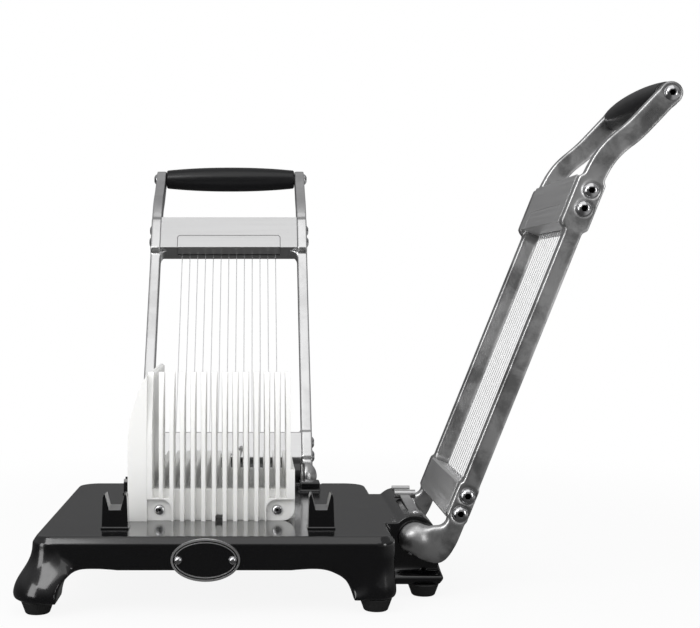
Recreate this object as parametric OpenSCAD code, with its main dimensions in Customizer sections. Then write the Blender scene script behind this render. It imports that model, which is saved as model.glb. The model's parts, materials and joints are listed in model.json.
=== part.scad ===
// Two-harp wire cuber: a black cast base carries a white slotted cutting block, and two hinged
// harps of thirteen wires swing down through its slots, one from the back and one from the side.

/* [Base] */
// Side of the square flat top
plate = 300; // [292:1:308]
// Height of the flat top above the surface that the feet stand on
top_h = 64.5; // [62:0.5:70]
// Radius of the flat top's front corners
corner_r = 13; // [10:1:16]
// Radius of the flat top's back corners
back_r = 20; // [16:1:24]
// Width of the bevel round the flat top
bevel_w = 4; // [3:0.5:5]
// Drop of the bevel round the flat top
bevel_h = 6; // [5:0.5:7]
// Depth of the apron below the flat top
apron_h = 28; // [26:1:32]
// Height of the legs' undersides below the flat top
leg_h = 53.5; // [52:0.5:55]
// Radius of a rubber foot at its top
foot_r_top = 14.2; // [13:0.2:15]
// Radius of a rubber foot at its bottom
foot_r_bottom = 10.4; // [9.4:0.2:11]

/* [Cutting block] */
// Distance between neighbouring wires and slots
pitch = 9.525; // [9.4:0.025:9.6]
// Number of wires in each harp
wire_count = 13; // [13:1:13]
// Width of a slot
slot_w = 3.8; // [3.4:0.1:4]
// Height of the block's posts
post_h = 45.4; // [42:0.2:48]
// Height of the floor of the slots for the rear harp's wires
rear_slot_floor = 28.3; // [26:0.1:30]
// Height of the floor of the slots for the side harp's wires
side_slot_floor = 13; // [12.5:0.5:13.5]
// Height of the fences above the flat top
fence_h = 133; // [125:1:140]
// Height up to which a fence's outer face is upright
fence_upright = 72; // [60:1:80]
// Thickness of a fence at its top
fence_tip = 6; // [5:0.5:7]

/* [Harps] */
// Distance between the inner faces of a harp's arms
inner_w = 166.7; // [166.5:0.1:167]
// Thickness of an arm
arm_t = 12.3; // [12:0.1:12.5]
// Diameter of a cutting wire
wire_d = 0.8; // [0.6:0.1:1]
// Largest diameter of a grip
grip_d = 31.4; // [30:0.1:32]
// Diameter of a grip at its ends
grip_end_d = 23.5; // [22:0.5:25]
// Lean of the side harp at rest, from upright
side_lean = 22; // [20:1:24]
// Lean of the rear harp at rest, from upright
rear_lean = 33; // [31:1:34]

/* [Hinges] */
// Radius of a hinge boss
boss_r = 20; // [19:0.5:20]
// Radius of a hub
hub_r = 16; // [15:0.5:16]
// Radius of a hinge shaft
shaft_r = 6; // [5:0.5:7]
// Radial clearance of a shaft in its bushes
running_gap = 0.05; // [0.02:0.01:0.08]
// Gap between an arm and the bush's flange
side_gap = 0.35; // [0.3:0.05:0.5]

/* [Hidden] */

BLACK = [0.04, 0.04, 0.045];
WHITE = [0.93, 0.93, 0.9];
ALLOY = [0.62, 0.63, 0.65];
STEEL = [0.75, 0.76, 0.78];
RUBBER = [0.08, 0.08, 0.08];
$fn = 64;

// The flat top's front left corner is the design point (0, 0, 0): X runs right, Y back, Z up.
rear_mid = 153;      // middle of the rear harp along X
rear_y = 311;        // rear hinge axis
rear_z = 6.5;
side_mid = 146.4;    // middle of the side harp along Y
side_x = 327.2;      // side hinge axis
side_z = -13.5;
paw_reach = 21;      // how far the front left leg flares past the flat top's corner

// A point of a harp is (across, out, up): out is away from the block and up runs along the arm.
pin = [60.6, 450];   // centre of the grip: (out, up)
arm_in = 18.7;       // the arm's straight stretch, from its inner edge to its outer edge
arm_out = 34.3;
low_pad = [16.4, 35.3, 28.6, 61.3];   // out from, out to, up from, up to
high_pad = [12.4, 38, 309, 354];
low_screws = [36.1, 53];              // places along the arm
high_screws = [326.5, 343.8];
screw_out = 27.25;
wire_out = 29;
wire_span = (wire_count - 1) * pitch;
grip_l = 166;
half_in = inner_w / 2;
half_out = half_in + arm_t;

// The origin is under the middle of the whole object, on the surface that it stands on.
reach_x = side_x + pin[1] * sin(side_lean) + pin[0] * cos(side_lean) + grip_d / 2;
reach_y = rear_y + pin[1] * sin(rear_lean) + pin[0] * cos(rear_lean) + grip_d / 2;
centre_x = (reach_x - paw_reach) / 2;
centre_y = (reach_y - paw_reach) / 2;

module place() { translate([-centre_x, -centre_y, top_h]) children(); }
module at_rear() { place() translate([rear_mid, rear_y, rear_z]) children(); }
module at_side() { place() translate([side_x, side_mid, side_z]) rotate([0, 0, -90]) children(); }
module rear_harp() { at_rear() rotate([-rear_lean, 0, 0]) children(); }
module side_harp() { at_side() rotate([-side_lean, 0, 0]) children(); }

function arc(c, r, a0, a1, n = 12) =
    [for (i = [0 : n]) let (a = a0 + (a1 - a0) * i / n) [c[0] + r * cos(a), c[1] + r * sin(a)]];
function bez(p, t) = pow(1 - t, 3) * p[0] + 3 * pow(1 - t, 2) * t * p[1]
    + 3 * (1 - t) * t * t * p[2] + t * t * t * p[3];
function slope(p, t) = 3 * pow(1 - t, 2) * (p[1] - p[0]) + 6 * (1 - t) * t * (p[2] - p[1])
    + 3 * t * t * (p[3] - p[2]);
function curve(p, n = 10) = [for (i = [0 : n]) bez(p, i / n)];
function beside(p, d, n = 10) = [for (i = [0 : n]) let (s = slope(p, i / n))
    bez(p, i / n) + d * [s[1], -s[0]] / norm(s)];
function back_to_front(l) = [for (i = [len(l) - 1 : -1 : 0]) l[i]];
function chamfered(x0, x1, y0, y1, c) = [[x0 + c, y0], [x1 - c, y0], [x1, y0 + c], [x1, y1 - c],
    [x1 - c, y1], [x0 + c, y1], [x0, y1 - c], [x0, y0 + c]];
function oval(a, b, n = 72) = [for (i = [0 : n - 1]) [a * cos(i * 360 / n), b * sin(i * 360 / n)]];

// Button-head screw along +Z, with the underside of its head at z = 0.
module button_screw(d, head_d, head_h, length, hex) {
    difference() {
        union() {
            rotate_extrude() polygon(concat([[0, 0], [head_d / 2, 0], [head_d / 2, head_h * 0.2]],
                [for (i = [1 : 6]) let (a = i * 13)
                    [head_d / 2 * cos(a), head_h * (0.2 + 0.8 * sin(a) / sin(78))]],
                [[0, head_h]]));
            translate([0, 0, -length]) cylinder(d = d, h = length + 0.1);
        }
        translate([0, 0, head_h * 0.4]) cylinder(r = hex / sqrt(3), h = head_h, $fn = 6);
    }
}
// Cap screw along -Z, with the top of its head at z = 0.
module cap_screw(d, head_d, head_h, length, hex) {
    difference() {
        union() {
            translate([0, 0, -head_h]) cylinder(d = head_d, h = head_h);
            translate([0, 0, -head_h - length]) cylinder(d = d, h = length + 0.1);
        }
        translate([0, 0, -head_h * 0.6]) cylinder(r = hex / sqrt(3), h = head_h, $fn = 6);
    }
}

// ---- Base ----
wall = 6;                             // thickness of the top and apron
leg_off = 79.4;                       // from the middle of a hinge to its outer leg
feet = [[2, 2], [287.6, 12], [12, 287.6], [282, 282], [335, side_mid - leg_off],
    [rear_mid - leg_off, 319]];
foot_h = top_h - leg_h;
boss_l = inner_w - 2 * (1.5 + side_gap);
flange_t = 1.5;
block_screw_x = [125, 190];
block_screw_y = [115, 185];
wing_h = 30;
tall_x = [63.5, 242.5];
tall_y = 40;
tall_d = 16;
low_x = 57;
low_y = [side_mid - half_in - arm_t / 2, side_mid + half_in + arm_t / 2];

module bevelled_slab(h) {
    for (x = [0, 1], y = [0, 1]) let (r = y == 0 ? corner_r : back_r, e = r + bevel_w)
        translate([x == 0 ? r : plate - r, y == 0 ? r : plate - r, 0]) rotate_extrude()
            polygon([[0, 0], [r, 0], [e, -bevel_h], [e, -h], [0, -h]]);
    translate([0, plate - back_r, 0]) rotate([90, 0, 0]) linear_extrude(plate - corner_r - back_r)
        polygon([[0, 0], [plate, 0], [plate + bevel_w, -bevel_h], [plate + bevel_w, -h],
            [-bevel_w, -h], [-bevel_w, -bevel_h]]);
    translate([corner_r, corner_r, 0]) rotate([90, 0, 90]) linear_extrude(plate - 2 * corner_r)
        polygon([[-corner_r, 0], [0, 0], [0, -h], [-corner_r - bevel_w, -h],
            [-corner_r - bevel_w, -bevel_h]]);
    translate([back_r, plate - back_r, 0]) rotate([90, 0, 90]) linear_extrude(plate - 2 * back_r)
        polygon([[0, 0], [back_r, 0], [back_r + bevel_w, -bevel_h], [back_r + bevel_w, -h], [0, -h]]);
}
// The arch between the apron and a leg, as an area that stays, seen from the front. foot_in is how
// far the leg's underside runs inwards, and reach is where the arch meets the apron.
module leg_area(foot_in, arch, reach) {
    polygon(concat([[-40, -bevel_h], [-40, -leg_h], [foot_in, -leg_h]],
        back_to_front(arc([reach, -apron_h - arch], arch, 90, 165, 10)), [[reach, -bevel_h]]));
}
// A leg's outer surface from its profile (distance from the corner's centre, height): it turns
// round the corner and runs straight inwards along both sides.
module corner_leg(r, profile) {
    translate([r, r, 0]) {
        rotate_extrude() polygon(concat([[0, -bevel_h]], profile, [[0, -leg_h]]));
        for (turn = [0, 1]) mirror([turn, -turn, 0]) rotate([90, 0, 90]) linear_extrude(45)
            polygon(concat([[14, -bevel_h]], [for (p = profile) [-p[0], p[1]]], [[14, -leg_h]]));
    }
}
// Front left leg: it swells outwards like a paw, and the swelling fades out towards the arch.
module paw() {
    flare = concat([[17, -bevel_h], [17.6, -13]],
        curve([[17.6, -13], [19, -22], [25, -29], [29.5, -36]], 8),
        curve([[29.5, -36], [32, -40], [34, -45], [34, -49.5]], 5), [[32.5, -52.5], [29, -leg_h]]);
    intersection() {
        corner_leg(corner_r, flare);
        for_both_sides() polygon(concat([[-40, -bevel_h], [-40, -leg_h], [20, -leg_h]],
            back_to_front(arc([41, -apron_h - 20], 20, 115, 165, 6)),
            [[29, -25], [22, -18], [16, -bevel_h]]));
    }
    intersection() {
        translate([-bevel_w, -bevel_w, -leg_h]) cube([45 + bevel_w, 45 + bevel_w, leg_h - bevel_h - 1]);
        for_both_sides() leg_area(20, 20, 41);
        corner_leg(corner_r, [[17, -bevel_h], [17, -leg_h]]);
    }
}
// An area seen from the front and from the side: what is inside both.
module for_both_sides() intersection() {
    rotate([90, 0, 0]) translate([0, 0, -60]) linear_extrude(120) children();
    rotate([90, 0, 90]) translate([0, 0, -60]) linear_extrude(120) children();
}
// Straight leg at the corner of the flat top that is at the origin here, x running inwards, with a
// round hollow in each outer face beside the arch.
module straight_leg(r) difference() {
    intersection() {
        corner_leg(r, [[r + 4, -bevel_h], [r + 4, -30], [r + 6, -49], [r + 4.5, -52], [r + 2, -leg_h]]);
        for_both_sides() leg_area(32, 30, 61.5);
    }
    for (turn = [0, 1]) mirror([turn, -turn, 0]) translate([33, -21.5, -39]) sphere(22);
}
// Outer leg under a wing, at its end nearer the front, in the side wing's place.
module wing_leg(mid_x, mid) {
    front = [[mid_x - 33, -14], [mid_x + 11, -14], [mid_x + 13.5, -37], [mid_x + 17, -48],
        [mid_x + 14.5, -52], [mid_x + 13, -leg_h], [mid_x - 33, -leg_h]];
    side = [[-81.5, -14], [-81.5, -42], [-90, -45.5], [-91.4, -48.5], [-89, -52], [-88.4, -leg_h],
        [-66.4, -leg_h], [-58.4, -40], [-54.4, -wing_h], [-54.4, -14]];
    intersection() {
        translate([0, 150, 0]) rotate([90, 0, 0]) linear_extrude(150) polygon(front);
        translate([mid_x - 40, mid, 0]) rotate([90, 0, 90]) linear_extrude(80) polygon(side);
    }
}
module swap_xy() { mirror([1, -1, 0]) children(); }
module hollow(h) {
    translate([wall, wall, -h]) cube([plate - 2 * wall, plate - 2 * wall, h - wall]);
}
module ribs() {
    for (x = block_screw_x) translate([x - 3, 0, -22]) cube([6, plate, 18]);
    for (y = block_screw_y) translate([0, y - 3, -22]) cube([plate, 6, 18]);
    for (x = block_screw_x, y = block_screw_y) translate([x, y, -22]) cylinder(r = 9, h = 18);
    for (x = tall_x) translate([x, tall_y, -22]) cylinder(r = 9, h = 18);
    for (y = low_y) translate([low_x, y, -22]) cylinder(r = 7, h = 18);
}
module wing_body(far, mid) {
    difference() {
        translate([plate - 4, mid - boss_l / 2, -wing_h]) cube([far - plate + 4, boss_l, wing_h]);
        translate([plate - 5, mid - boss_l / 2 + wall, -wing_h - 1])
            cube([far - plate - wall, boss_l - 2 * wall, wing_h - wall]);
    }
}
// Everything under a hinge outside the flat top: wing, boss, spring seat and outer leg.
module hinge_wing(far, mid, axis_x, axis_z, leg_x) difference() {
    union() {
        wing_body(far, mid);
        translate([axis_x, mid + boss_l / 2, axis_z]) rotate([90, 0, 0])
            cylinder(r = boss_r, h = boss_l, $fn = 96);
        wing_leg(leg_x, mid);
        translate([axis_x - 5, mid - boss_l / 2 + 2, axis_z]) cube([13, 14, boss_r]);
    }
    bevelled_slab(leg_h + 10);
    translate([axis_x, mid + boss_l, axis_z]) rotate([90, 0, 0])
        cylinder(r = shaft_r + 2, h = 2 * boss_l);
    translate([axis_x + 1.5, mid - boss_l / 2 + 9, axis_z + boss_r - 9]) cylinder(r = 1.6, h = 12);
    translate([leg_x, mid - leg_off, -leg_h - 1]) cylinder(r = 2.5, h = 14);
}
module side_hinge_wing() color(BLACK) place() hinge_wing(side_x + 6, side_mid, side_x, side_z, 335);
module rear_hinge_wing() color(BLACK) place() swap_xy()
    hinge_wing(rear_y + 12, rear_mid, rear_y, rear_z, 319);
module low_lug() color(BLACK) place() translate([231, 244, 0]) cube([21, 22, 9]);
module base_casting() color(BLACK) place() difference() {
    union() {
        difference() {
            union() {
                bevelled_slab(apron_h);
                paw();
                translate([plate, 0, 0]) mirror([1, 0, 0]) straight_leg(corner_r);
                swap_xy() translate([plate, 0, 0]) mirror([1, 0, 0]) straight_leg(back_r);
                translate([plate, plate, 0]) rotate([0, 0, 180]) straight_leg(back_r);
            }
            difference() {
                hollow(leg_h + 1);
                for (p = [[0, 0], [1, 0], [0, 1], [1, 1]])
                    translate([p[0] * plate, p[1] * plate, -leg_h - 1]) cylinder(r = 38, h = leg_h);
            }
        }
        ribs();
    }
    // room for the rear hubs in the back edge
    for (s = [-1, 1]) translate([rear_mid + s * (half_in + 9.2) - 10, rear_y, rear_z])
        rotate([0, 90, 0]) cylinder(r = hub_r + 1.2, h = 20);
    // holes for the feet, the rests and the block
    for (i = [0 : 3]) translate([feet[i][0], feet[i][1], -leg_h - 1]) cylinder(r = 2.5, h = 14);
    for (x = tall_x) translate([x, tall_y, -30]) cylinder(r = 3.2, h = 40);
    for (y = low_y) translate([low_x, y, -30]) cylinder(r = 2.2, h = 40);
    for (x = block_screw_x, y = block_screw_y) translate([x, y, -30]) cylinder(r = 2.7, h = 40);
    // rivet holes behind the badge
    for (s = [-1, 1]) translate([badge_x + s * rivet_x, -bevel_w + 8, badge_z]) rotate([90, 0, 0])
        cylinder(r = 1.5, h = 15);
}

// A rest post, its notch running along Y and its floor rising to the back by slope degrees: half
// widths of the notch at its floor and its top.
module rest(w, d, h, floor_z, half_floor, half_top, hole, slope) {
    notch = [[-half_floor, 0], [half_floor, 0], [half_top, h - floor_z + 0.01],
        [half_top, h], [-half_top, h], [-half_top, h - floor_z + 0.01]];
    body = [[-w / 2, 0], [w / 2, 0], [w / 2, 1.2], [w / 2 - 0.8, 2], [w / 2 - 1.7, h - 3],
        [w / 2 - 2.7, h], [-w / 2 + 2.7, h], [-w / 2 + 1.7, h - 3], [-w / 2 + 0.8, 2], [-w / 2, 1.2]];
    difference() {
        intersection() {
            translate([0, d / 2, 0]) rotate([90, 0, 0]) linear_extrude(d) polygon(body);
            translate([-w / 2, 0, 0]) rotate([90, 0, 90]) linear_extrude(w)
                polygon([[-d / 2, 0], [d / 2, 0], [d / 2, 1.2], [d / 2 - 0.8, 2], [d / 2 - 0.8, h],
                    [-d / 2 + 0.8, h], [-d / 2 + 0.8, 2], [-d / 2, 1.2]]);
        }
        translate([0, -d / 2, floor_z]) rotate([slope, 0, 0]) translate([0, 2 * d, 0])
            rotate([90, 0, 0]) linear_extrude(3 * d) polygon(notch);
        translate([0, 0, -1]) cylinder(r = hole, h = floor_z - 2);
    }
}
module tall_rests() color(BLACK) place() for (x = tall_x)
    translate([x, tall_y, 0]) rest(24.4, tall_d, 30.5, 16.7, 5, 8.6, 2.5, 10);
// The front one is cut short just behind the tall rest, which stands next to it.
module low_rests() color(BLACK) place() difference() {
    for (y = low_y) translate([low_x, y, 0]) rotate([0, 0, 90]) rest(23, 12, 15, 5, 6.65, 7.4, 1.7, 0);
    translate([low_x - 10, tall_y - tall_d / 2, -1]) cube([20, tall_d + 0.1, 20]);
}
module rest_screws() color(STEEL) place() {
    for (x = tall_x) translate([x, tall_y, -22]) rotate([180, 0, 0]) button_screw(4.9, 10, 2.8, 34, 3);
    for (y = low_y) translate([low_x, y, -22]) rotate([180, 0, 0]) button_screw(3.3, 7, 2, 24, 2);
}
module rubber_feet() color(RUBBER) place() for (f = feet) translate([f[0], f[1], -top_h])
    rotate_extrude() polygon([[5, 0], [foot_r_bottom - 1, 0], [foot_r_bottom, 1],
        [foot_r_top - 0.4, foot_h - 1], [foot_r_top - 0.4, foot_h], [2.6, foot_h], [2.6, 4], [5, 4]]);
module foot_screws() color(STEEL) place() for (f = feet) translate([f[0], f[1], -top_h + 4])
    rotate([180, 0, 0]) button_screw(4.9, 9, 2.6, 16, 3);

badge_x = 143.5;
badge_z = -18.7;
badge_a = 29;
badge_b = 17.9;
rivet_x = 22.8;
module oval_slab(inset, y0, t) translate([badge_x, y0, badge_z]) rotate([90, 0, 0])
    linear_extrude(t) polygon(oval(badge_a - inset, badge_b - inset));
module badge_plate() color(STEEL) place() difference() {
    oval_slab(0, -bevel_w, 3);
    difference() {
        oval_slab(1.6, -bevel_w - 2, 2);
        oval_slab(2.8, -bevel_w - 1, 1.7);
    }
    oval_slab(3.6, -bevel_w - 1.6, 2);
    for (s = [-1, 1]) translate([badge_x + s * rivet_x, 0, badge_z]) rotate([90, 0, 0]) {
        cylinder(r = 1.5, h = 12);
        translate([0, 0, bevel_w + 1.6]) cylinder(r = 3.75, h = 5);
    }
}
module badge_rivets() color(STEEL) place() for (s = [-1, 1])
    translate([badge_x + s * rivet_x, -bevel_w - 1.6, badge_z]) rotate([90, 0, 0]) {
        rotate_extrude() polygon(concat([[0, 0]], arc([0, 0], 3.7, 0, 90, 8)));
        translate([0, 0, -7]) cylinder(r = 1.45, h = 7.1);
    }

// ---- Cutting block ----
fence_in_x = rear_mid - wire_span / 2 - slot_w / 2;   // inner face of the side fence
fence_in_y = side_mid - wire_span / 2 - slot_w / 2;   // inner face of the front fence
block_x1 = 220.7;
block_y1 = 216;
side_fence_x0 = 71;
front_fence_y0 = 70.4;
fence_start = rear_mid - wire_span / 2 - pitch / 2 - (pitch - slot_w) / 2;  // first fin's left side
join = 0.05;                                          // face-to-face gap between plastic pieces
screw_z = 9.8;
front_screw_x = [99.3, 205];
side_screw_y = [112, 200];

module grid_block() color(WHITE) place() difference() {
    translate([fence_in_x + join, fence_in_y + join, 0])
        cube([block_x1 - fence_in_x - join, block_y1 - fence_in_y - join, post_h]);
    for (i = [0 : wire_count - 1]) {
        translate([rear_mid - wire_span / 2 + i * pitch - slot_w / 2, 0, rear_slot_floor])
            cube([slot_w, plate, post_h]);
        translate([0, side_mid - wire_span / 2 + i * pitch - slot_w / 2, side_slot_floor])
            cube([plate, slot_w, post_h]);
    }
    for (x = block_screw_x, y = block_screw_y) translate([x, y, -1]) cylinder(r = 2.5, h = 8);
    for (x = front_screw_x) translate([x, fence_in_y + 16, screw_z]) rotate([90, 0, 0])
        cylinder(r = 2.5, h = 20);
    for (y = side_screw_y) translate([fence_in_x - 2, y, screw_z]) rotate([0, 90, 0])
        cylinder(r = 2.5, h = 16);
}
// Outline of a fence seen along its length: t is its thickness at the foot.
function fence_side(t) = concat([[t, 0], [t, fence_h - 2], [t - 2, fence_h]],
    [[t - fence_tip + 2, fence_h], [t - fence_tip, fence_h - 2.5]],
    back_to_front(curve([[0, fence_upright], [0, 92], [t * 0.35, 118], [t - fence_tip, fence_h - 2.5]], 10)),
    [[0, 0]]);
// Gap between two fins: narrow at the block and wider at the outer face.
module comb_gap(t) linear_extrude(fence_h) polygon([[slot_w / 2, t + 1], [-slot_w / 2, t + 1],
    [-slot_w / 2, t], [-3.15, -1], [3.15, -1], [slot_w / 2, t]]);
fence_t_y = fence_in_y - front_fence_y0;
fence_t_x = fence_in_x - side_fence_x0;
ear_h = 19.6;
module ear_recess(x0, x1, flip) {
    r = 9;
    h = ear_h;
    translate([0, front_fence_y0 + 4.5, 0]) rotate([90, 0, 0]) linear_extrude(10) difference() {
        translate([x0, -1]) square([x1 - x0, h + 1]);
        translate([flip ? x0 : x1 - r, h - r]) difference() {
            square([r, r]);
            translate([flip ? r : 0, 0]) circle(r);
        }
    }
}
module front_fence() color(WHITE) place() difference() {
    translate([fence_start, front_fence_y0, 0]) rotate([90, 0, 90])
        linear_extrude(block_x1 - fence_start) polygon(fence_side(fence_t_y));
    for (i = [0 : wire_count - 1]) translate([rear_mid + (i - 6) * pitch, front_fence_y0, 0]) {
        translate([0, 0, rear_slot_floor]) comb_gap(fence_t_y);
        beside_ear = i < 2 || i > wire_count - 3;
        translate([0, 0, beside_ear ? ear_h + 1 : -1]) linear_extrude(rear_slot_floor + 2)
            polygon([[-3.15, -1], [3.15, -1], [2.6, 7], [-2.6, 7]]);
    }
    // flats for the screws, a drain at the middle and the rounded lower right corner
    ear_recess(fence_start - 1, 110, false);
    ear_recess(195, block_x1 + 1, true);
    translate([149.4, front_fence_y0 - 1, -1]) cube([6.6, 30, 6]);
    translate([block_x1 - 11, front_fence_y0 + 30, 11]) rotate([90, 0, 0]) linear_extrude(40)
        difference() {
            translate([0, -12]) square([12, 12]);
            circle(11);
        }
    for (x = front_screw_x) translate([x, fence_in_y + 1, screw_z]) rotate([90, 0, 0])
        cylinder(r = 2.6, h = 30);
    // the last fin is as wide as the others above the block
    translate([rear_mid + 7 * pitch - 2.7, front_fence_y0 - 1, post_h + 1])
        cube([20, 30, fence_h]);
}
module side_fence() color(WHITE) place() difference() {
    union() {
        translate([side_fence_x0, block_y1, 0]) rotate([90, 0, 0])
            linear_extrude(block_y1 - fence_in_y - join) polygon(fence_side(fence_t_x));
        intersection() {
            translate([side_fence_x0, fence_in_y, 0]) rotate([90, 0, 0])
                linear_extrude(fence_in_y - front_fence_y0) polygon(fence_side(fence_t_x));
            translate([0, 0, -1]) cube([fence_start - join, fence_in_y, fence_h + 2]);
        }
        translate([side_fence_x0, fence_in_y + 1, 0]) rotate([90, 0, 0])
            linear_extrude(2 + join) intersection() {
                polygon(fence_side(fence_t_x));
                square([fence_start - join - side_fence_x0, fence_h]);
            }
    }
    for (i = [0 : wire_count - 1]) translate([side_fence_x0, side_mid + (i - 6) * pitch, side_slot_floor])
        mirror([1, -1, 0]) comb_gap(fence_t_x);
    for (y = side_screw_y) {
        translate([fence_in_x + 1, y, screw_z]) rotate([0, -90, 0]) cylinder(r = 2.6, h = 30);
        translate([side_fence_x0 + 5, y, screw_z]) rotate([0, -90, 0]) cylinder(r = 6, h = 30);
    }
}
module front_fence_screws() color(STEEL) place() for (x = front_screw_x)
    translate([x, front_fence_y0 + 4.5, screw_z]) rotate([90, 0, 0]) button_screw(4.9, 9.6, 2.8, 26, 3);
module side_fence_screws() color(STEEL) place() for (y = side_screw_y)
    translate([side_fence_x0 + 5, y, screw_z]) rotate([0, -90, 0]) button_screw(4.9, 9.6, 2.8, 30, 3);
module block_screws() color(STEEL) place() for (x = block_screw_x, y = block_screw_y)
    translate([x, y, -22]) rotate([180, 0, 0]) button_screw(4.9, 10, 2.8, 28, 3);

// ---- Harps, upright about their hinge axis, which is the X axis here ----
bend_a = [[25.6, 350], [26, 376], [31, 386], [39.3, 400]];
bend_b = [[39.3, 400], [46.5, 412], [52, 430], pin];
arm_end_r = 10.5;
module arm_outline() {
    circle(10.2);
    polygon(concat([[4, -10]], curve([[6, -14.6], [28, -hub_r], [arm_out, -12], [arm_out, 22]], 14),
        [[arm_out, 45], [arm_in, 45]], arc([arm_in - 9, 27], 9, 0, -90, 8), [[6, 15], [4, 10]]));
    polygon([[arm_in, 40], [arm_out, 40], [arm_out, 320], [arm_in, 320]]);
    polygon(chamfered(low_pad[0], low_pad[1], low_pad[2] - 1, low_pad[3] + 3, 3));
    polygon(chamfered(high_pad[0], high_pad[1], high_pad[2] - 4, high_pad[3] + 2, 4));
    polygon(concat(beside(bend_a, 9.6), beside(bend_b, 9.8),
        back_to_front(beside(bend_b, -9.8)), back_to_front(beside(bend_a, -9.6))));
    translate(pin) circle(arm_end_r);
}
// Curved web between an arm and a crossbar: leg is its length on the arm, s is up or down.
module gusset(up, leg, s) translate([half_in + 0.5, arm_in, up]) rotate([90, 0, 0])
    mirror([1, 0, 0]) translate([0, 0, -arm_out + arm_in]) linear_extrude(arm_out - arm_in)
    polygon(concat([[0, 0]], [for (p = arc([leg + 0.5, s * leg], leg, s * -90, s * -180, 8)) p]));
// side is 1 for the arm at +X and -1 for the other.
module arm(side) {
    mirror([side < 0 ? 1 : 0, 0, 0]) difference() {
        union() {
            translate([half_in, 0, 0]) rotate([90, 0, 90]) linear_extrude(arm_t) arm_outline();
            intersection() {
                translate([half_in, 0, 0]) sphere(hub_r);
                translate([half_in, -hub_r, -hub_r]) cube(2 * hub_r);
            }
            gusset(high_pad[2], 11, -1);
            gusset(low_pad[3], 6, 1);
        }
        translate([half_in - 1, 0, 0]) rotate([0, 90, 0]) cylinder(r = shaft_r, h = 11);
        for (u = concat(low_screws, high_screws)) translate([half_in - 1, screw_out, u])
            rotate([0, 90, 0]) {
                cylinder(r = 4.1, h = 30);
                translate([0, 0, arm_t - 0.5]) cylinder(r = 8, h = 10);
            }
        translate([half_in - 1, pin[0], pin[1]]) rotate([0, 90, 0]) cylinder(r = 4.1, h = 30);
        translate([half_in + 5, 0, -hub_r - 1]) cylinder(r = 2.5, h = hub_r);
    }
}
module wire_slots(r, from, to, out = wire_out) for (i = [0 : wire_count - 1])
    translate([(i - 6) * pitch, out, from]) cylinder(r = r, h = to - from, $fn = 24);
cover_w = 126;
cover_h = 18;
module upper_crossbar() difference() {
    translate([-half_in, high_pad[0], high_pad[2]])
        cube([inner_w, high_pad[1] - high_pad[0], high_pad[3] - high_pad[2]]);
    translate([0, wire_out + 1.2, high_pad[2] - 1]) rotate([90, 0, 0]) linear_extrude(40) {
        translate([-cover_w / 2, 0]) square([cover_w, cover_h + 1 - 4]);
        translate([-cover_w / 2 + 4, 0]) square([cover_w - 8, cover_h + 1]);
        for (s = [-1, 1]) translate([s * (cover_w / 2 - 4), cover_h + 1 - 4]) circle(4);
    }
    wire_slots(0.9, high_pad[2], high_pad[3] - 20);
    wire_slots(1.6, high_pad[3] - 22, high_pad[3] + 1);
    wire_slots(3.1, high_pad[3] - 5, high_pad[3] + 1);
    for (s = [-1, 1], u = high_screws) translate([s * half_in, screw_out, u])
        rotate([0, -s * 90, 0]) translate([0, 0, -1]) cylinder(r = 4, h = 20);
    // the cover's screws come in from the far side
    for (s = [-1, 1]) translate([s * 50, 0, high_pad[2] + 9]) rotate([-90, 0, 0]) {
        cylinder(r = 1.7, h = high_pad[1] + 1);
        translate([0, 0, high_pad[1] - 2.5]) cylinder(r = 3.4, h = 4);
    }
}
module lower_crossbar() difference() {
    translate([-half_in, 0, 0]) rotate([90, 0, 90]) linear_extrude(inner_w)
        polygon(chamfered(low_pad[0], low_pad[1] - 0.3, low_pad[2], low_pad[3], 1.5));
    wire_slots(0.8, low_pad[2] + 4, low_pad[3] + 1);
    wire_slots(2.4, low_pad[2] - 1, low_pad[2] + 7);
    for (s = [-1, 1], u = low_screws) translate([s * half_in, screw_out, u])
        rotate([0, -s * 90, 0]) translate([0, 0, -1]) cylinder(r = 4, h = 20);
}
module wire_cover() difference() {
    translate([0, wire_out - 1.2, high_pad[2]]) rotate([90, 0, 0])
        linear_extrude(wire_out - 1.2 - high_pad[0]) {
            translate([-cover_w / 2 + 0.3, 0]) square([cover_w - 0.6, cover_h - 4]);
            translate([-cover_w / 2 + 4, 0]) square([cover_w - 8, cover_h - 0.3]);
            for (s = [-1, 1]) translate([s * (cover_w / 2 - 4), cover_h - 4]) circle(3.7);
        }
    for (s = [-1, 1]) translate([s * 50, high_pad[0] + 3, high_pad[2] + 9]) rotate([-90, 0, 0])
        cylinder(r = 1.7, h = 30);
}
module cover_screws() for (s = [-1, 1]) translate([s * 50, high_pad[1] - 2.5, high_pad[2] + 9])
    rotate([-90, 0, 0]) button_screw(3.1, 6, 1.8, 18, 2);
module wires() wire_slots(wire_d / 2, low_pad[2] + 3, high_pad[3] - 21);
module tension_screws() for (i = [0 : wire_count - 1]) translate([(i - 6) * pitch, wire_out, high_pad[3] - 1.5])
    cap_screw(3, 5.6, 3, 16, 2);
module wire_anchors() for (i = [0 : wire_count - 1]) translate([(i - 6) * pitch, wire_out, low_pad[2] + 0.5])
    difference() {
        cylinder(r = 2.2, h = 6.4);
        translate([0, 0, 2.4]) cylinder(r = wire_d / 2 + 0.02, h = 10, $fn = 24);
    }
module crossbar_screws() for (s = [-1, 1], u = concat(low_screws, high_screws))
    translate([s * (half_out - 0.5 - 1 + 0.2), screw_out, u]) rotate([0, s * 90, 0])
        button_screw(7.8, 14, 4.4, 28, 5);
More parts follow.
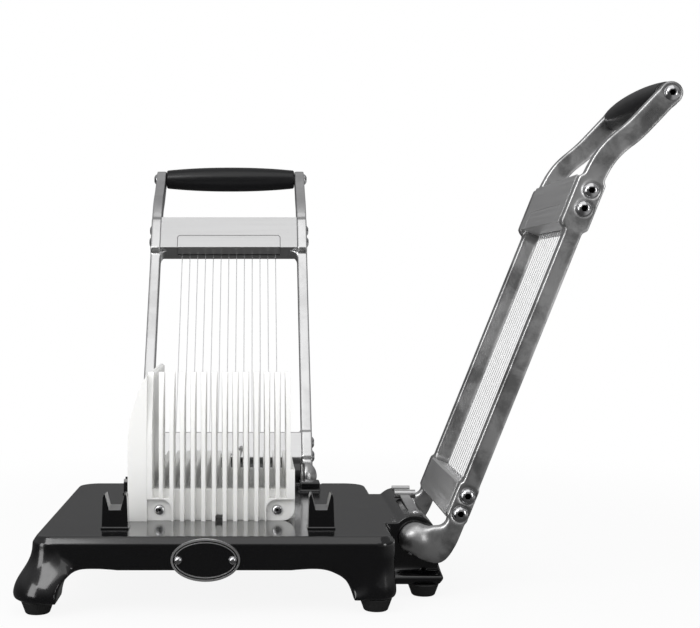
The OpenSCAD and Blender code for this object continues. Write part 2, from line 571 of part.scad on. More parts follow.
module grip() difference() {
    translate([-grip_l / 2, pin[0], pin[1]]) rotate([0, 90, 0]) rotate_extrude($fn = 96)
        polygon(concat([[6.1, 0], [grip_end_d / 2 - 1.2, 0]],
            [for (i = [0 : 24]) let (x = 1.2 + (grip_l - 2.4) * i / 24, k = 2 * x / grip_l - 1)
                [grip_end_d / 2 + (grip_d - grip_end_d) / 2 * (1 - pow(abs(k), 2.2)), x]],
            [[grip_end_d / 2 - 1.2, grip_l], [6.1, grip_l]]));
}
module grip_rod() difference() {
    translate([-half_in, pin[0], pin[1]]) rotate([0, 90, 0]) cylinder(r = 6, h = inner_w);
    for (s = [-1, 1]) translate([s * half_in, pin[0], pin[1]]) rotate([0, -s * 90, 0])
        translate([0, 0, -1]) cylinder(r = 4, h = 20);
}
module grip_screws() for (s = [-1, 1]) translate([s * half_out, pin[0], pin[1]])
    rotate([0, s * 90, 0]) button_screw(7.8, 14, 4.4, 28, 5);
module hinge_shaft() translate([-half_in - 9.8, 0, 0]) rotate([0, 90, 0])
    cylinder(r = shaft_r, h = inner_w + 19.6);
module hub_screws() for (s = [-1, 1]) translate([s * (half_in + 5), 0, 0]) rotate([0, 180, 0])
    translate([0, 0, shaft_r + 0.1]) difference() {
        cylinder(r = 2.45, h = 8);
        translate([0, 0, 5]) cylinder(r = 1.5, h = 4, $fn = 6);
    }
module hinge_bushes() for (s = [-1, 1]) translate([s * (boss_l / 2 + flange_t), 0, 0])
    rotate([0, -s * 90, 0]) difference() {
        union() {
            cylinder(r = 12, h = flange_t);
            cylinder(r = shaft_r + 2, h = flange_t + 18);
        }
        translate([0, 0, -1]) cylinder(r = shaft_r + running_gap, h = 30);
    }
// Catch spring: a strip that rises along the boss from its screw to a T of two rolled bars,
// all low enough for the lower crossbar to swing over it.
module catch_spring() {
    strip = [[0, 0], [14, 0], [30, 0.2], [84, 1.8], [90, 2.4], [90, 3.9], [84, 3.3], [30, 1.7],
        [14, 1.5], [0, 1.5]];
    translate([boss_l / 2 - 2, 0, boss_r + 0.02]) mirror([1, 0, 0]) difference() {
        union() {
            translate([0, -4.5, 0]) cube([14, 12, 1.5]);
            translate([0, 6, 0]) rotate([90, 0, 0]) linear_extrude(9) polygon(strip);
            translate([93, -8, 4.1]) rotate([-90, 0, 0]) cylinder(r = 4, h = 20);
            translate([96.5, -10, 9.1]) rotate([-90, 0, 0]) cylinder(r = 2.4, h = 17);
            translate([94.4, -7, 4.5]) cube([3, 12, 4.6]);
        }
        translate([7, 1.5, -1]) cylinder(r = 1.8, h = 4);
    }
}
module catch_screw() translate([boss_l / 2 - 9, 1.5, boss_r + 1.55]) button_screw(3.1, 7, 2, 8, 2);

base_casting();
side_hinge_wing();
rear_hinge_wing();
low_lug();
tall_rests();
low_rests();
rest_screws();
rubber_feet();
foot_screws();
badge_plate();
badge_rivets();
grid_block();
front_fence();
side_fence();
front_fence_screws();
side_fence_screws();
block_screws();
color(ALLOY) rear_harp() arm(-1);  // rear_left_arm
color(ALLOY) rear_harp() arm(1);  // rear_right_arm
color(ALLOY) rear_harp() upper_crossbar();  // rear_upper_crossbar
color(ALLOY) rear_harp() lower_crossbar();  // rear_lower_crossbar
color(ALLOY) rear_harp() wire_cover();  // rear_wire_cover
color(STEEL) rear_harp() cover_screws();  // rear_cover_screws
color(STEEL) rear_harp() wires();  // rear_wires
color(STEEL) rear_harp() tension_screws();  // rear_tension_screws
color(STEEL) rear_harp() wire_anchors();  // rear_wire_anchors
color(STEEL) rear_harp() crossbar_screws();  // rear_crossbar_screws
color(BLACK) rear_harp() grip();  // rear_grip
color(STEEL) rear_harp() grip_rod();  // rear_grip_rod
color(STEEL) rear_harp() grip_screws();  // rear_grip_screws
color(STEEL) rear_harp() hinge_shaft();  // rear_hinge_shaft
color(STEEL) rear_harp() hub_screws();  // rear_hub_screws
color(WHITE) at_rear() hinge_bushes();  // rear_hinge_bushes
color(STEEL) at_rear() mirror([1, 0, 0]) catch_spring();  // rear_catch_spring
color(STEEL) at_rear() mirror([1, 0, 0]) catch_screw();  // rear_catch_screw
color(ALLOY) side_harp() arm(1);  // side_front_arm
color(ALLOY) side_harp() arm(-1);  // side_back_arm
color(ALLOY) side_harp() upper_crossbar();  // side_upper_crossbar
color(ALLOY) side_harp() lower_crossbar();  // side_lower_crossbar
color(ALLOY) side_harp() wire_cover();  // side_wire_cover
color(STEEL) side_harp() cover_screws();  // side_cover_screws
color(STEEL) side_harp() wires();  // side_wires
color(STEEL) side_harp() tension_screws();  // side_tension_screws
color(STEEL) side_harp() wire_anchors();  // side_wire_anchors
color(STEEL) side_harp() crossbar_screws();  // side_crossbar_screws
color(BLACK) side_harp() grip();  // side_grip
color(STEEL) side_harp() grip_rod();  // side_grip_rod
color(STEEL) side_harp() grip_screws();  // side_grip_screws
color(STEEL) side_harp() hinge_shaft();  // side_hinge_shaft
color(STEEL) side_harp() hub_screws();  // side_hub_screws
color(WHITE) at_side() hinge_bushes();  // side_hinge_bushes
color(STEEL) at_side() catch_spring();  // side_catch_spring
color(STEEL) at_side() catch_screw();  // side_catch_screw
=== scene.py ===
"""Two-harp wire cuber: the finished look of each piece, in the order that it goes together."""
import math
import json

import bpy
import bmesh
from mathutils import Matrix, Vector

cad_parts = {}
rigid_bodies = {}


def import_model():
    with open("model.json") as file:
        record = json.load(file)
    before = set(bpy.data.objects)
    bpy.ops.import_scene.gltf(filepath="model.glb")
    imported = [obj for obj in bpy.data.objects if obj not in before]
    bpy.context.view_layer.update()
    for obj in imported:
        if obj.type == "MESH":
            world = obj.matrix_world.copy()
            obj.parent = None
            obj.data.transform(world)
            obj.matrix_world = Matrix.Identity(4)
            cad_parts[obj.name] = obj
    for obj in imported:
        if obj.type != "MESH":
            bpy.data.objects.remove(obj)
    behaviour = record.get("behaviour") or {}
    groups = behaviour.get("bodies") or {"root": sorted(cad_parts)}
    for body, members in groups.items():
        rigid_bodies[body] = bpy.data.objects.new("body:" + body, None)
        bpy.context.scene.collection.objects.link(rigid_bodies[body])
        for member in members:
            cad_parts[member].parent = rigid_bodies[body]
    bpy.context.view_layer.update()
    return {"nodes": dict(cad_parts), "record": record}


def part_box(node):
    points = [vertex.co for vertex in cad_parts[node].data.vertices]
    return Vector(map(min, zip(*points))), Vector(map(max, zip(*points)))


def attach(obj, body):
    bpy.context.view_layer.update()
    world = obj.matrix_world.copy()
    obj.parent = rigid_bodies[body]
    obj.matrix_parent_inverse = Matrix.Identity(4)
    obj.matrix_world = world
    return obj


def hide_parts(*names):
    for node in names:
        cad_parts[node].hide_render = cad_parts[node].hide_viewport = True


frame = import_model()

# ---- The design point ----
# The flat top's front left corner, at the level of the flat top. The cutting block stands on the
# flat top, and the front left leg's paw reaches 21 mm past the corner. Sizes here are in metres.
MM = 0.001
paw_reach = 21 * MM
top_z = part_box("grid_block")[0].z
casting_low, casting_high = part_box("base_casting")
corner = Vector((casting_low.x + paw_reach, casting_low.y + paw_reach, top_z))


def at(x, y, z):
    """A point given in millimetres right of, behind and above the design point."""
    return corner + Vector((x, y, z)) * MM


# ---- Camera ----
# A level view from the front, to the right of the block's middle, with a short telephoto lens.
lens = bpy.data.cameras.new("camera")
lens.sensor_width = 36
lens.lens = 66.86
lens.shift_x = 0.1357
lens.shift_y = -0.0364
lens.clip_start = 0.05
lens.clip_end = 60
camera = bpy.data.objects.new("camera", lens)
camera.location = at(185, -1093, 208.5)
camera.rotation_euler = (math.radians(90), 0, 0)
bpy.context.scene.collection.objects.link(camera)
bpy.context.scene.camera = camera
bpy.context.scene.view_settings.view_transform = "Standard"


# ---- Studio ----
# A pale floor that runs out into a white background, one big soft light over the front left,
# a big panel overhead, a weaker low strip on the right and a low strip at the front left.
def new_material(name):
    """A material, its node tree and its Principled shader."""
    made = bpy.data.materials.new(name)
    made.use_nodes = True
    tree = made.node_tree
    return made, tree, tree.nodes["Principled BSDF"]


def add(tree, kind, **sockets):
    """A node of that kind, with its unlinked inputs set by name."""
    node = tree.nodes.new(kind)
    for name, value in sockets.items():
        node.inputs[name.replace("_", " ")].default_value = value
    return node


def studio_sky():
    """White to the eye, even to what it lights, and dim from the horizon up to what mirrors it."""
    world = bpy.data.worlds.new("studio")
    bpy.context.scene.world = world
    world.use_nodes = True
    tree = world.node_tree
    tree.nodes.clear()
    out = tree.nodes.new("ShaderNodeOutputWorld")
    coords = tree.nodes.new("ShaderNodeTexCoord")
    split = tree.nodes.new("ShaderNodeSeparateXYZ")
    ramp = tree.nodes.new("ShaderNodeValToRGB")
    stops = ((0.0, 0.05), (0.50, 0.075), (0.60, 0.13), (0.70, 0.26), (0.85, 0.34), (1.0, 0.36))
    while len(ramp.color_ramp.elements) < len(stops):
        ramp.color_ramp.elements.new(0.5)
    for element, (place, grey) in zip(ramp.color_ramp.elements, stops):
        element.position = place
        element.color = (grey, grey, grey * 1.01, 1)
    lift = add(tree, "ShaderNodeMath", )
    lift.operation = "MULTIPLY_ADD"
    lift.inputs[1].default_value = 0.5
    lift.inputs[2].default_value = 0.5
    seen = tree.nodes.new("ShaderNodeBackground")
    unseen = tree.nodes.new("ShaderNodeBackground")
    path = tree.nodes.new("ShaderNodeLightPath")
    mix = tree.nodes.new("ShaderNodeMixShader")
    seen.inputs["Color"].default_value = (1, 1, 1, 1)
    tree.links.new(coords.outputs["Generated"], split.inputs[0])
    tree.links.new(split.outputs["Z"], lift.inputs[0])
    tree.links.new(lift.outputs[0], ramp.inputs[0])
    even = tree.nodes.new("ShaderNodeMix")
    even.data_type = "RGBA"
    even.inputs["B"].default_value = (0.74, 0.74, 0.74, 1)
    tree.links.new(path.outputs["Is Diffuse Ray"], even.inputs["Factor"])
    tree.links.new(ramp.outputs["Color"], even.inputs["A"])
    tree.links.new(even.outputs["Result"], unseen.inputs["Color"])
    tree.links.new(path.outputs["Is Camera Ray"], mix.inputs[0])
    tree.links.new(unseen.outputs[0], mix.inputs[1])
    tree.links.new(seen.outputs[0], mix.inputs[2])
    tree.links.new(mix.outputs[0], out.inputs["Surface"])


def studio_floor():
    """A disc that is pale paper near the object and melts into the white further out."""
    made, tree, shader = new_material("floor_paper")
    shader.inputs["Base Color"].default_value = (0.75, 0.75, 0.75, 1)
    shader.inputs["Roughness"].default_value = 0.9
    shader.inputs["Specular IOR Level"].default_value = 0.1
    coords = tree.nodes.new("ShaderNodeTexCoord")
    far = tree.nodes.new("ShaderNodeVectorMath")
    far.operation = "LENGTH"
    fade = add(tree, "ShaderNodeMapRange")
    fade.interpolation_type = "SMOOTHSTEP"
    fade.inputs["From Min"].default_value = 0.30
    fade.inputs["From Max"].default_value = 0.9
    fade.inputs["To Min"].default_value = 0.9
    white = add(tree, "ShaderNodeEmission", Color=(1, 1, 1, 1), Strength=1.0)
    dim = add(tree, "ShaderNodeEmission", Color=(1, 1, 1, 1))
    split = tree.nodes.new("ShaderNodeSeparateXYZ")
    bright = add(tree, "ShaderNodeMapRange")
    bright.interpolation_type = "SMOOTHSTEP"
    bright.inputs["From Min"].default_value = 0.15
    bright.inputs["From Max"].default_value = 0.50
    bright.inputs["To Min"].default_value = 0.07
    bright.inputs["To Max"].default_value = 0.36
    tree.links.new(coords.outputs["Object"], split.inputs[0])
    tree.links.new(split.outputs["X"], bright.inputs["Value"])
    tree.links.new(bright.outputs[0], dim.inputs["Strength"])
    path = tree.nodes.new("ShaderNodeLightPath")
    seen = tree.nodes.new("ShaderNodeMixShader")
    unseen = tree.nodes.new("ShaderNodeMixShader")
    both = tree.nodes.new("ShaderNodeMixShader")
    tree.links.new(coords.outputs["Object"], far.inputs[0])
    tree.links.new(far.outputs["Value"], fade.inputs["Value"])
    tree.links.new(fade.outputs[0], seen.inputs[0])
    tree.links.new(shader.outputs[0], seen.inputs[1])
    tree.links.new(white.outputs[0], seen.inputs[2])
    tree.links.new(path.outputs["Is Glossy Ray"], unseen.inputs[0])
    tree.links.new(shader.outputs[0], unseen.inputs[1])
    tree.links.new(dim.outputs[0], unseen.inputs[2])
    tree.links.new(path.outputs["Is Camera Ray"], both.inputs[0])
    tree.links.new(unseen.outputs[0], both.inputs[1])
    tree.links.new(seen.outputs[0], both.inputs[2])
    tree.links.new(both.outputs[0], tree.nodes["Material Output"].inputs["Surface"])
    bm = bmesh.new()
    bmesh.ops.create_circle(bm, cap_ends=True, radius=25, segments=96)
    mesh = bpy.data.meshes.new("floor")
    bm.to_mesh(mesh)
    bm.free()
    mesh.materials.append(made)
    floor = bpy.data.objects.new("floor", mesh)
    floor.location.z = -0.0005
    bpy.context.scene.collection.objects.link(floor)


def softbox(name, place, aim, wide, high, watts, mirrored=True):
    """A rectangular light at place, turned to face aim, which polished metal may or may not mirror."""
    data = bpy.data.lights.new(name, "AREA")
    data.shape = "RECTANGLE"
    data.size = wide
    data.size_y = high
    data.energy = watts
    lamp = bpy.data.objects.new(name, data)
    lamp.location = place
    lamp.rotation_euler = (Vector(aim) - Vector(place)).to_track_quat("-Z", "Y").to_euler()
    lamp.visible_glossy = mirrored
    bpy.context.scene.collection.objects.link(lamp)


studio_sky()
studio_floor()
softbox("key", (-1.0, -1.5, 1.5), (0, -0.05, 0.12), 0.9, 0.9, 10)
softbox("ceiling", (0.1, -0.9, 1.9), (0, 0, 0.1), 1.7, 1.7, 7)
softbox("left_strip", (-1.25, -0.95, 0.40), (0, -0.1, 0.1), 0.5, 0.9, 4.8)
softbox("right_strip", (1.5, -1.3, 0.45), (0.1, 0, 0.1), 0.34, 0.9, 3.6)


# ---- Base casting, hinge wings, rests and lug ----
# Sand-cast metal, fettled and stoved with gloss black paint. The flat top is polished like a
# mirror, the edges are softened by the paint, and the legs and bosses are rounder.
def paint_grain():
    """Shader group: the fine orange peel of sprayed paint, and the dull marks of wiping."""
    group = bpy.data.node_groups.new("paint_grain", "ShaderNodeTree")
    group.interface.new_socket("Coords", in_out="INPUT", socket_type="NodeSocketVector")
    peel_size = group.interface.new_socket("Peel", in_out="INPUT", socket_type="NodeSocketFloat")
    peel_size.default_value = 900
    group.interface.new_socket("Peel Height", in_out="OUTPUT", socket_type="NodeSocketFloat")
    group.interface.new_socket("Wiped", in_out="OUTPUT", socket_type="NodeSocketFloat")
    enter = group.nodes.new("NodeGroupInput")
    leave = group.nodes.new("NodeGroupOutput")
    peel = add(group, "ShaderNodeTexNoise", Detail=3.0, Roughness=0.6)
    wipe = add(group, "ShaderNodeTexNoise", Scale=14.0, Detail=5.0, Roughness=0.65)
    group.links.new(enter.outputs["Coords"], peel.inputs["Vector"])
    group.links.new(enter.outputs["Peel"], peel.inputs["Scale"])
    group.links.new(enter.outputs["Coords"], wipe.inputs["Vector"])
    group.links.new(peel.outputs["Fac"], leave.inputs["Peel Height"])
    group.links.new(wipe.outputs["Fac"], leave.inputs["Wiped"])
    return group


def use_group(tree, group):
    """Places a shader group and feeds it Object coordinates."""
    node = tree.nodes.new("ShaderNodeGroup")
    node.node_tree = group
    coords = tree.nodes.new("ShaderNodeTexCoord")
    tree.links.new(coords.outputs["Object"], node.inputs["Coords"])
    return node


def spread_value(tree, source, low, high, target, start=0.35, end=0.65):
    """Links source, a noise from about start to end, to target as low to high."""
    node = add(tree, "ShaderNodeMapRange")
    node.inputs["From Min"].default_value = start
    node.inputs["From Max"].default_value = end
    node.inputs["To Min"].default_value = low
    node.inputs["To Max"].default_value = high
    tree.links.new(source, node.inputs["Value"])
    tree.links.new(node.outputs[0], target)


def raise_bump(tree, shader, source, strength, distance):
    """Bump on the shader's normal from a height source."""
    node = add(tree, "ShaderNodeBump", Strength=strength, Distance=distance)
    tree.links.new(source, node.inputs["Height"])
    tree.links.new(node.outputs["Normal"], shader.inputs["Normal"])


grain = paint_grain()


def gloss_paint():
    made, tree, shader = new_material("gloss_black_paint")
    shader.inputs["Base Color"].default_value = (0.0025, 0.0025, 0.003, 1)
    shader.inputs["Coat Weight"].default_value = 0.7
    shader.inputs["Coat Roughness"].default_value = 0.09
    marks = use_group(tree, grain)
    spread_value(tree, marks.outputs["Wiped"], 0.12, 0.24, shader.inputs["Roughness"])
    raise_bump(tree, shader, marks.outputs["Peel Height"], 0.10, 0.0002)
    return made


def own_copy(node):
    """The node's surface as a clean mesh: merged, with flat faces made whole."""
    bm = bmesh.new()
    bm.from_mesh(frame["nodes"][node].data)
    bmesh.ops.remove_doubles(bm, verts=bm.verts, dist=2e-5)
    bmesh.ops.dissolve_degenerate(bm, dist=1e-5, edges=bm.edges)
    bmesh.ops.dissolve_limit(bm, angle_limit=math.radians(0.8), verts=bm.verts, edges=bm.edges)
    return bm


def piece_from(bm, name, material):
    """An object at the origin from a bmesh, which is freed."""
    mesh = bpy.data.meshes.new(name)
    bm.to_mesh(mesh)
    bm.free()
    if material:
        mesh.materials.append(material)
    piece = bpy.data.objects.new(name, mesh)
    bpy.context.scene.collection.objects.link(piece)
    return piece


def apply_modifiers(piece):
    """Turns what the modifiers give into the piece's own mesh."""
    dg = bpy.context.evaluated_depsgraph_get()
    mesh = bpy.data.meshes.new_from_object(piece.evaluated_get(dg))
    piece.modifiers.clear()
    old = piece.data
    piece.data = mesh
    bpy.data.meshes.remove(old)
    mesh.name = piece.name


def round_edges(piece, width, segments=2, angle=28):
    """Rounds each edge sharper than angle, and shades flats flat and curves smooth."""
    bevel = piece.modifiers.new("round", "BEVEL")
    bevel.width = width
    bevel.segments = segments
    bevel.limit_method = "ANGLE"
    bevel.angle_limit = math.radians(angle)
    piece.data.shade_smooth()
    flat = piece.modifiers.new("flat", "WEIGHTED_NORMAL")
    flat.mode = "FACE_AREA"
    flat.weight = 100
    apply_modifiers(piece)


def fit(piece, body, slot, *nodes):
    """Fixes a finished piece to its body in place of its nodes."""
    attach(piece, body)
    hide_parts(*nodes)


def softened(node, body, slot, material, width, segments=2, angle=28):
    """A node's own shape with rounded edges."""
    piece = piece_from(own_copy(node), node + "_finished", material)
    round_edges(piece, width, segments, angle)
    fit(piece, body, slot, node)
    return piece


def bare_metal():
    """Cast iron milled bare in the notches, where an arm comes to rest."""
    made, tree, shader = new_material("milled_notch")
    shader.inputs["Base Color"].default_value = (0.42, 0.42, 0.42, 1)
    shader.inputs["Metallic"].default_value = 1
    marks = use_group(tree, grain)
    spread_value(tree, marks.outputs["Wiped"], 0.38, 0.55, shader.inputs["Roughness"])
    raise_bump(tree, shader, marks.outputs["Peel Height"], 0.2, 0.0002)
    return made


def joined_castings(*nodes):
    """One mesh from several castings that are one in the finished piece."""
    whole = piece_from(own_copy(nodes[0]), "joined", None)
    for node in nodes[1:]:
        part = piece_from(own_copy(node), node + "_part", None)
        union = whole.modifiers.new("union", "BOOLEAN")
        union.operation = "UNION"
        union.solver = "EXACT"
        union.object = part
        apply_modifiers(whole)
        old = part.data
        bpy.data.objects.remove(part)
        bpy.data.meshes.remove(old)
    bm = bmesh.new()
    bm.from_mesh(whole.data)
    old = whole.data
    bpy.data.objects.remove(whole)
    bpy.data.meshes.remove(old)
    bmesh.ops.remove_doubles(bm, verts=bm.verts, dist=3e-5)
    bmesh.ops.dissolve_degenerate(bm, dist=1e-5, edges=bm.edges)
    bmesh.ops.dissolve_limit(bm, angle_limit=math.radians(0.8), verts=bm.verts, edges=bm.edges)
    return bm


def flow_together(piece):
    """The casting grown through a fine grid, its edges softened, and its legs most of all."""
    grid = piece.modifiers.new("grid", "REMESH")
    grid.mode = "VOXEL"
    grid.voxel_size = 1.1 * MM
    apply_modifiers(piece)
    low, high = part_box("base_casting")
    legs = piece.vertex_groups.new(name="legs")
    for vert in piece.data.vertices:
        x = min(vert.co.x - low.x, high.x - vert.co.x)
        y = min(vert.co.y - low.y, high.y - vert.co.y)
        depth = (top_z - 17 * MM - vert.co.z) / (8 * MM)
        near = (92 * MM - math.hypot(x, y)) / (14 * MM)
        above_foot = (vert.co.z - low.z) / (7 * MM)
        weight = math.prod(max(0.0, min(1.0, part)) for part in (depth, near, above_foot))
        if weight:
            legs.add([vert.index], weight, "REPLACE")
    edges = piece.modifiers.new("edges", "SMOOTH")
    edges.factor = 0.5
    edges.iterations = 2
    leg_shape = piece.modifiers.new("leg_shape", "SMOOTH")
    leg_shape.vertex_group = "legs"
    leg_shape.factor = 0.5
    leg_shape.iterations = 120
    fewer = piece.modifiers.new("fewer", "DECIMATE")
    fewer.ratio = 0.3
    apply_modifiers(piece)
    piece.vertex_groups.clear()
    piece.data.shade_smooth()


def milled_notches(piece, floor_low):
    """Gives the faces of each notch, between its prongs and above floor_low, the bare finish."""
    piece.data.materials.append(bare)
    for face in piece.data.polygons:
        if face.normal.z > 0.15 and face.center.z > floor_low and abs(face.normal.z) < 0.999:
            face.material_index = 1


paint = gloss_paint()
bare = bare_metal()
castings = ("base_casting", "side_hinge_wing", "rear_hinge_wing", "low_lug")
casting = piece_from(joined_castings(*castings), "base_casting_finished", paint)
flow_together(casting)
fit(casting, "base", "black_paint", *castings)
tall = softened("tall_rests", "base", "black_paint", paint, 0.5 * MM)
milled_notches(tall, top_z + 10 * MM)
low = softened("low_rests", "base", "black_paint", paint, 0.5 * MM)
milled_notches(low, top_z + 4 * MM)


# ---- Rubber feet ----
# Moulded rubber, tapered, with a dull skin. A screw in each holds it to its leg.
def rubber():
    made, tree, shader = new_material("foot_rubber")
    shader.inputs["Base Color"].default_value = (0.012, 0.012, 0.012, 1)
    marks = use_group(tree, grain)
    spread_value(tree, marks.outputs["Wiped"], 0.45, 0.65, shader.inputs["Roughness"])
    raise_bump(tree, shader, marks.outputs["Peel Height"], 0.25, 0.0003)
    return made


softened("rubber_feet", "base", "rubber", rubber(), 0.7 * MM)


# ---- Screws, rivets, pins and springs ----
# Stainless button screws, turned and polished, with a hexagon socket. The rivets have plain domes,
# and the small cap screws tighten the wires. The catch springs are satin strip.
def steel_material(name, colour, low, high):
    made, tree, shader = new_material(name)
    shader.inputs["Base Color"].default_value = (*colour, 1)
    shader.inputs["Metallic"].default_value = 1
    marks = use_group(tree, grain)
    spread_value(tree, marks.outputs["Wiped"], low, high, shader.inputs["Roughness"])
    raise_bump(tree, shader, marks.outputs["Peel Height"], 0.06, 0.0001)
    return made


class NodeTree:
    """A Geometry Nodes tree in the making, with named inputs and one geometry output."""

    def __init__(self, name, **sizes):
        self.tree = bpy.data.node_groups.new(name, "GeometryNodeTree")
        face = self.tree.interface
        face.new_socket("Geometry", in_out="INPUT", socket_type="NodeSocketGeometry")
        self.ids = {}
        for key, value in sizes.items():
            kind = "NodeSocketInt" if isinstance(value, int) else "NodeSocketFloat"
            if isinstance(value, bpy.types.Material):
                kind = "NodeSocketMaterial"
            socket = face.new_socket(key, in_out="INPUT", socket_type=kind)
            socket.default_value = value
            self.ids[key] = socket.identifier
        face.new_socket("Geometry", in_out="OUTPUT", socket_type="NodeSocketGeometry")
        self.enter = self.tree.nodes.new("NodeGroupInput")
        self.leave = self.tree.nodes.new("NodeGroupOutput")

    def size(self, name):
        return self.enter.outputs[name]

    def node(self, kind, settings=None, **sockets):
        """A node whose inputs are numbers, vectors or other nodes' outputs."""
        node = self.tree.nodes.new("GeometryNode" + kind if kind[:6] != "Shader" else kind)
        for key, value in (settings or {}).items():
            setattr(node, key, value)
        for name, value in sockets.items():
            socket = node.inputs[name.replace("_", " ")]
            for one in value if isinstance(value, list) else [value]:
                if isinstance(one, bpy.types.NodeSocket):
                    self.tree.links.new(one, socket)
                else:
                    socket.default_value = one
        return node

    def maths(self, operation, a, b):
        node = self.tree.nodes.new("ShaderNodeMath")
        node.operation = operation
        for socket, value in zip(node.inputs, (a, b)):
            if isinstance(value, bpy.types.NodeSocket):
                self.tree.links.new(value, socket)
            else:
                socket.default_value = value
        return node.outputs[0]

    def xyz(self, x=0.0, y=0.0, z=0.0):
        node = self.tree.nodes.new("ShaderNodeCombineXYZ")
        for socket, value in zip(node.inputs, (x, y, z)):
            if isinstance(value, bpy.types.NodeSocket):
                self.tree.links.new(value, socket)
            else:
                socket.default_value = value
        return node.outputs[0]

    def at_points(self, geometry):
        """The same solid on every point given, real and smooth, in the finish asked for."""
        put = self.node("InstanceOnPoints", Points=self.enter.outputs["Geometry"], Instance=geometry)
        real = self.node("RealizeInstances", Geometry=put.outputs[0])
        self.finish(real.outputs[0])

    def finish(self, geometry):
        painted = self.node("SetMaterial", Geometry=geometry, Material=self.size("Finish"))
        self.tree.links.new(painted.outputs[0], self.leave.inputs[0])


def screw_tree(finish):
    """A head that is half an ellipsoid, its hexagon socket, and a plain shank."""
    t = NodeTree("button_screw", Head=0.014, Height=0.0044, Shank=0.0078, Length=0.028, Socket=0.005,
                 Finish=finish)
    radius = t.maths("DIVIDE", t.size("Head"), 2.0)
    ball = t.node("MeshUVSphere", Segments=32, Rings=18, Radius=1.0)
    dome = t.node("Transform", Geometry=ball.outputs["Mesh"],
                  Scale=t.xyz(radius, radius, t.size("Height")))
    block = t.node("MeshCube", Size=t.xyz(0.05, 0.05, 0.05))
    below = t.node("Transform", Geometry=block.outputs["Mesh"], Translation=t.xyz(0.0, 0.0, -0.025))
    hexagon = t.node("MeshCylinder", Vertices=6, Radius=t.maths("DIVIDE", t.size("Socket"), 1.732),
                     Depth=t.size("Height"))
    depth = t.maths("MULTIPLY", t.size("Height"), 0.9)
    socket = t.node("Transform", Geometry=hexagon.outputs["Mesh"], Translation=t.xyz(0.0, 0.0, depth))
    point = t.node("MeshCone", Vertices=6, Radius_Top=t.maths("DIVIDE", t.size("Socket"), 1.733),
                   Radius_Bottom=0.0, Depth=t.maths("MULTIPLY", t.size("Height"), 0.42))
    tip = t.maths("MULTIPLY", t.size("Height"), 0.04)
    drilled = t.node("Transform", Geometry=point.outputs["Mesh"], Translation=t.xyz(0.0, 0.0, tip))
    head = t.node("MeshBoolean", {"operation": "DIFFERENCE"}, Mesh_1=dome.outputs[0],
                  Mesh_2=[below.outputs[0], socket.outputs[0], drilled.outputs[0]])
    rod = t.node("MeshCylinder", Vertices=20, Radius=t.maths("DIVIDE", t.size("Shank"), 2.0),
                 Depth=t.size("Length"))
    half = t.maths("DIVIDE", t.size("Length"), -2.0)
    shank = t.node("Transform", Geometry=rod.outputs["Mesh"], Translation=t.xyz(0.0, 0.0, half))
    both = t.node("JoinGeometry", Geometry=[head.outputs["Mesh"], shank.outputs[0]])
    t.at_points(both.outputs[0])
    return t


def points_object(name, places):
    """A mesh of loose points, where a tree sets its solids."""
    mesh = bpy.data.meshes.new(name)
    mesh.from_pydata([tuple(p) for p in places], [], [])
    piece = bpy.data.objects.new(name, mesh)
    bpy.context.scene.collection.objects.link(piece)
    return piece


def grow(piece, t, **sizes):
    """Runs a tree on a piece with the sizes given and keeps the result as its plain mesh."""
    modifier = piece.modifiers.new(t.tree.name, "NODES")
    modifier.node_group = t.tree
    for key, value in sizes.items():
        modifier[t.ids[key]] = value
    apply_modifiers(piece)


def cap_tree(finish):
    """A straight cap head with a hexagon socket, on a plain shank, its top at the point."""
    t = NodeTree("cap_screw", Head=0.0056, Height=0.003, Shank=0.003, Length=0.016, Socket=0.002,
                 Finish=finish)
    barrel = t.node("MeshCylinder", Vertices=24, Radius=t.maths("DIVIDE", t.size("Head"), 2.0),
                    Depth=t.size("Height"))
    middle = t.maths("DIVIDE", t.size("Height"), -2.0)
    head = t.node("Transform", Geometry=barrel.outputs["Mesh"], Translation=t.xyz(0.0, 0.0, middle))
    hexagon = t.node("MeshCylinder", Vertices=6, Radius=t.maths("DIVIDE", t.size("Socket"), 1.732),
                     Depth=t.size("Height"))
    cut = t.node("MeshBoolean", {"operation": "DIFFERENCE"}, Mesh_1=head.outputs[0],
                 Mesh_2=[hexagon.outputs["Mesh"]])
    rod = t.node("MeshCylinder", Vertices=16, Radius=t.maths("DIVIDE", t.size("Shank"), 2.0),
                 Depth=t.size("Length"))
    drop = t.maths("SUBTRACT", t.maths("DIVIDE", t.size("Length"), -2.0), t.size("Height"))
    shank = t.node("Transform", Geometry=rod.outputs["Mesh"], Translation=t.xyz(0.0, 0.0, drop))
    t.at_points(t.node("JoinGeometry", Geometry=[cut.outputs["Mesh"], shank.outputs[0]]).outputs[0])
    return t


def rivet_tree(finish):
    """A round dome on a plain shank, its flat side at the point."""
    t = NodeTree("rivet", Head=0.0074, Shank=0.0029, Length=0.007, Finish=finish)
    radius = t.maths("DIVIDE", t.size("Head"), 2.0)
    ball = t.node("MeshUVSphere", Segments=28, Rings=16, Radius=radius)
    block = t.node("MeshCube", Size=t.xyz(0.03, 0.03, 0.03))
    below = t.node("Transform", Geometry=block.outputs["Mesh"], Translation=t.xyz(0.0, 0.0, -0.015))
    dome = t.node("MeshBoolean", {"operation": "DIFFERENCE"}, Mesh_1=ball.outputs["Mesh"],
                  Mesh_2=[below.outputs[0]])
    rod = t.node("MeshCylinder", Vertices=16, Radius=t.maths("DIVIDE", t.size("Shank"), 2.0),
                 Depth=t.size("Length"))
    half = t.maths("DIVIDE", t.size("Length"), -2.0)
    shank = t.node("Transform", Geometry=rod.outputs["Mesh"], Translation=t.xyz(0.0, 0.0, half))
    t.at_points(t.node("JoinGeometry", Geometry=[dome.outputs["Mesh"], shank.outputs[0]]).outputs[0])
    return t


